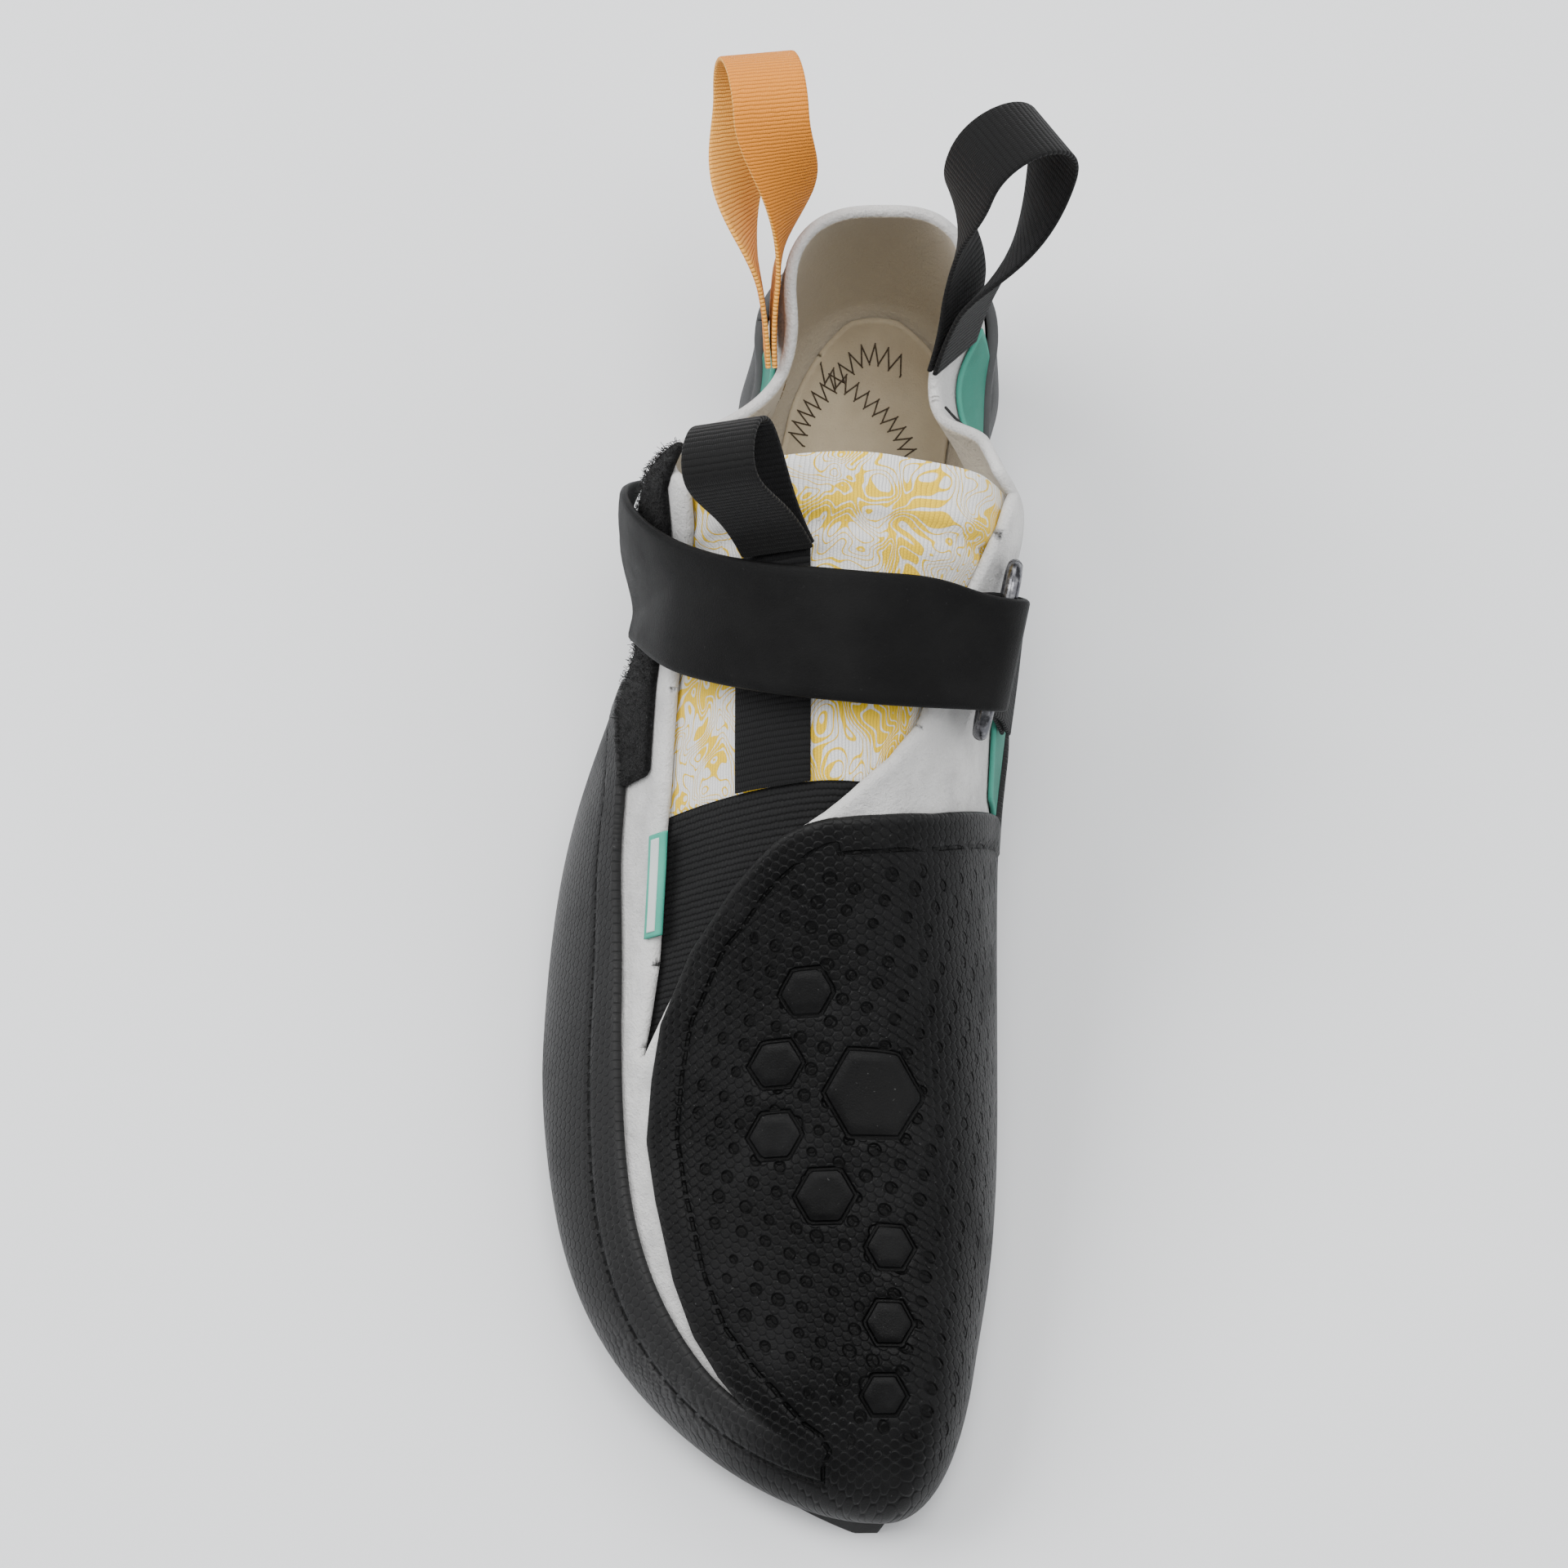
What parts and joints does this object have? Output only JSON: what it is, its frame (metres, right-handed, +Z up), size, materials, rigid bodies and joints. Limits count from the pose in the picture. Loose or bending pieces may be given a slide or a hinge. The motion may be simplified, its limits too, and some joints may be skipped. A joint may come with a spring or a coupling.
{
  "type": "climbing shoe",
  "caption": "Right-foot rock climbing shoe with suede upper, rubber toe cap and rand, stretch tongue, one strap through a ring and webbing pull loops.",
  "frame": {"origin": "middle of the heel's flat spot, on the floor", "axes": "+Z up, +Y towards the heel, -Y towards the toe, +X towards the big toe's side"},
  "size_m": [0.1039, 0.2731, 0.13],
  "materials": {
    "suede": "matt split suede, off-white",
    "lining": "tan microfibre",
    "black_rubber": "satin, moulded scale texture",
    "grey_rubber": "satin dark grey",
    "strap_rubber": "smooth satin black",
    "printed_stretch": "pale ribbed stretch fabric with yellow line print",
    "black_knit": "ribbed knit",
    "black_pile": "loop pile",
    "teal_synthetic": "matt synthetic leather",
    "teal_rubber": "satin",
    "black_webbing": "grosgrain",
    "orange_webbing": "grosgrain",
    "gunmetal": "dark plated, polished"
  },
  "bodies": {
    "root": {"upper": "suede", "insole": "lining", "outsole": "black_rubber", "toe_rubber": "black_rubber", "heel_rubber": "grey_rubber", "tongue": "printed_stretch", "vamp_knit": "black_knit", "strap_pile": "black_pile", "medial_panel": "teal_synthetic", "lateral_panel": "teal_synthetic", "strap": "strap_rubber", "ring": "gunmetal", "ring_tab": "black_webbing", "centre_tape": "black_webbing", "side_tag": "teal_rubber", "front_loop": "black_webbing", "heel_loop_lateral": "orange_webbing", "heel_loop_medial": "black_webbing"}
  },
  "joints": []
}
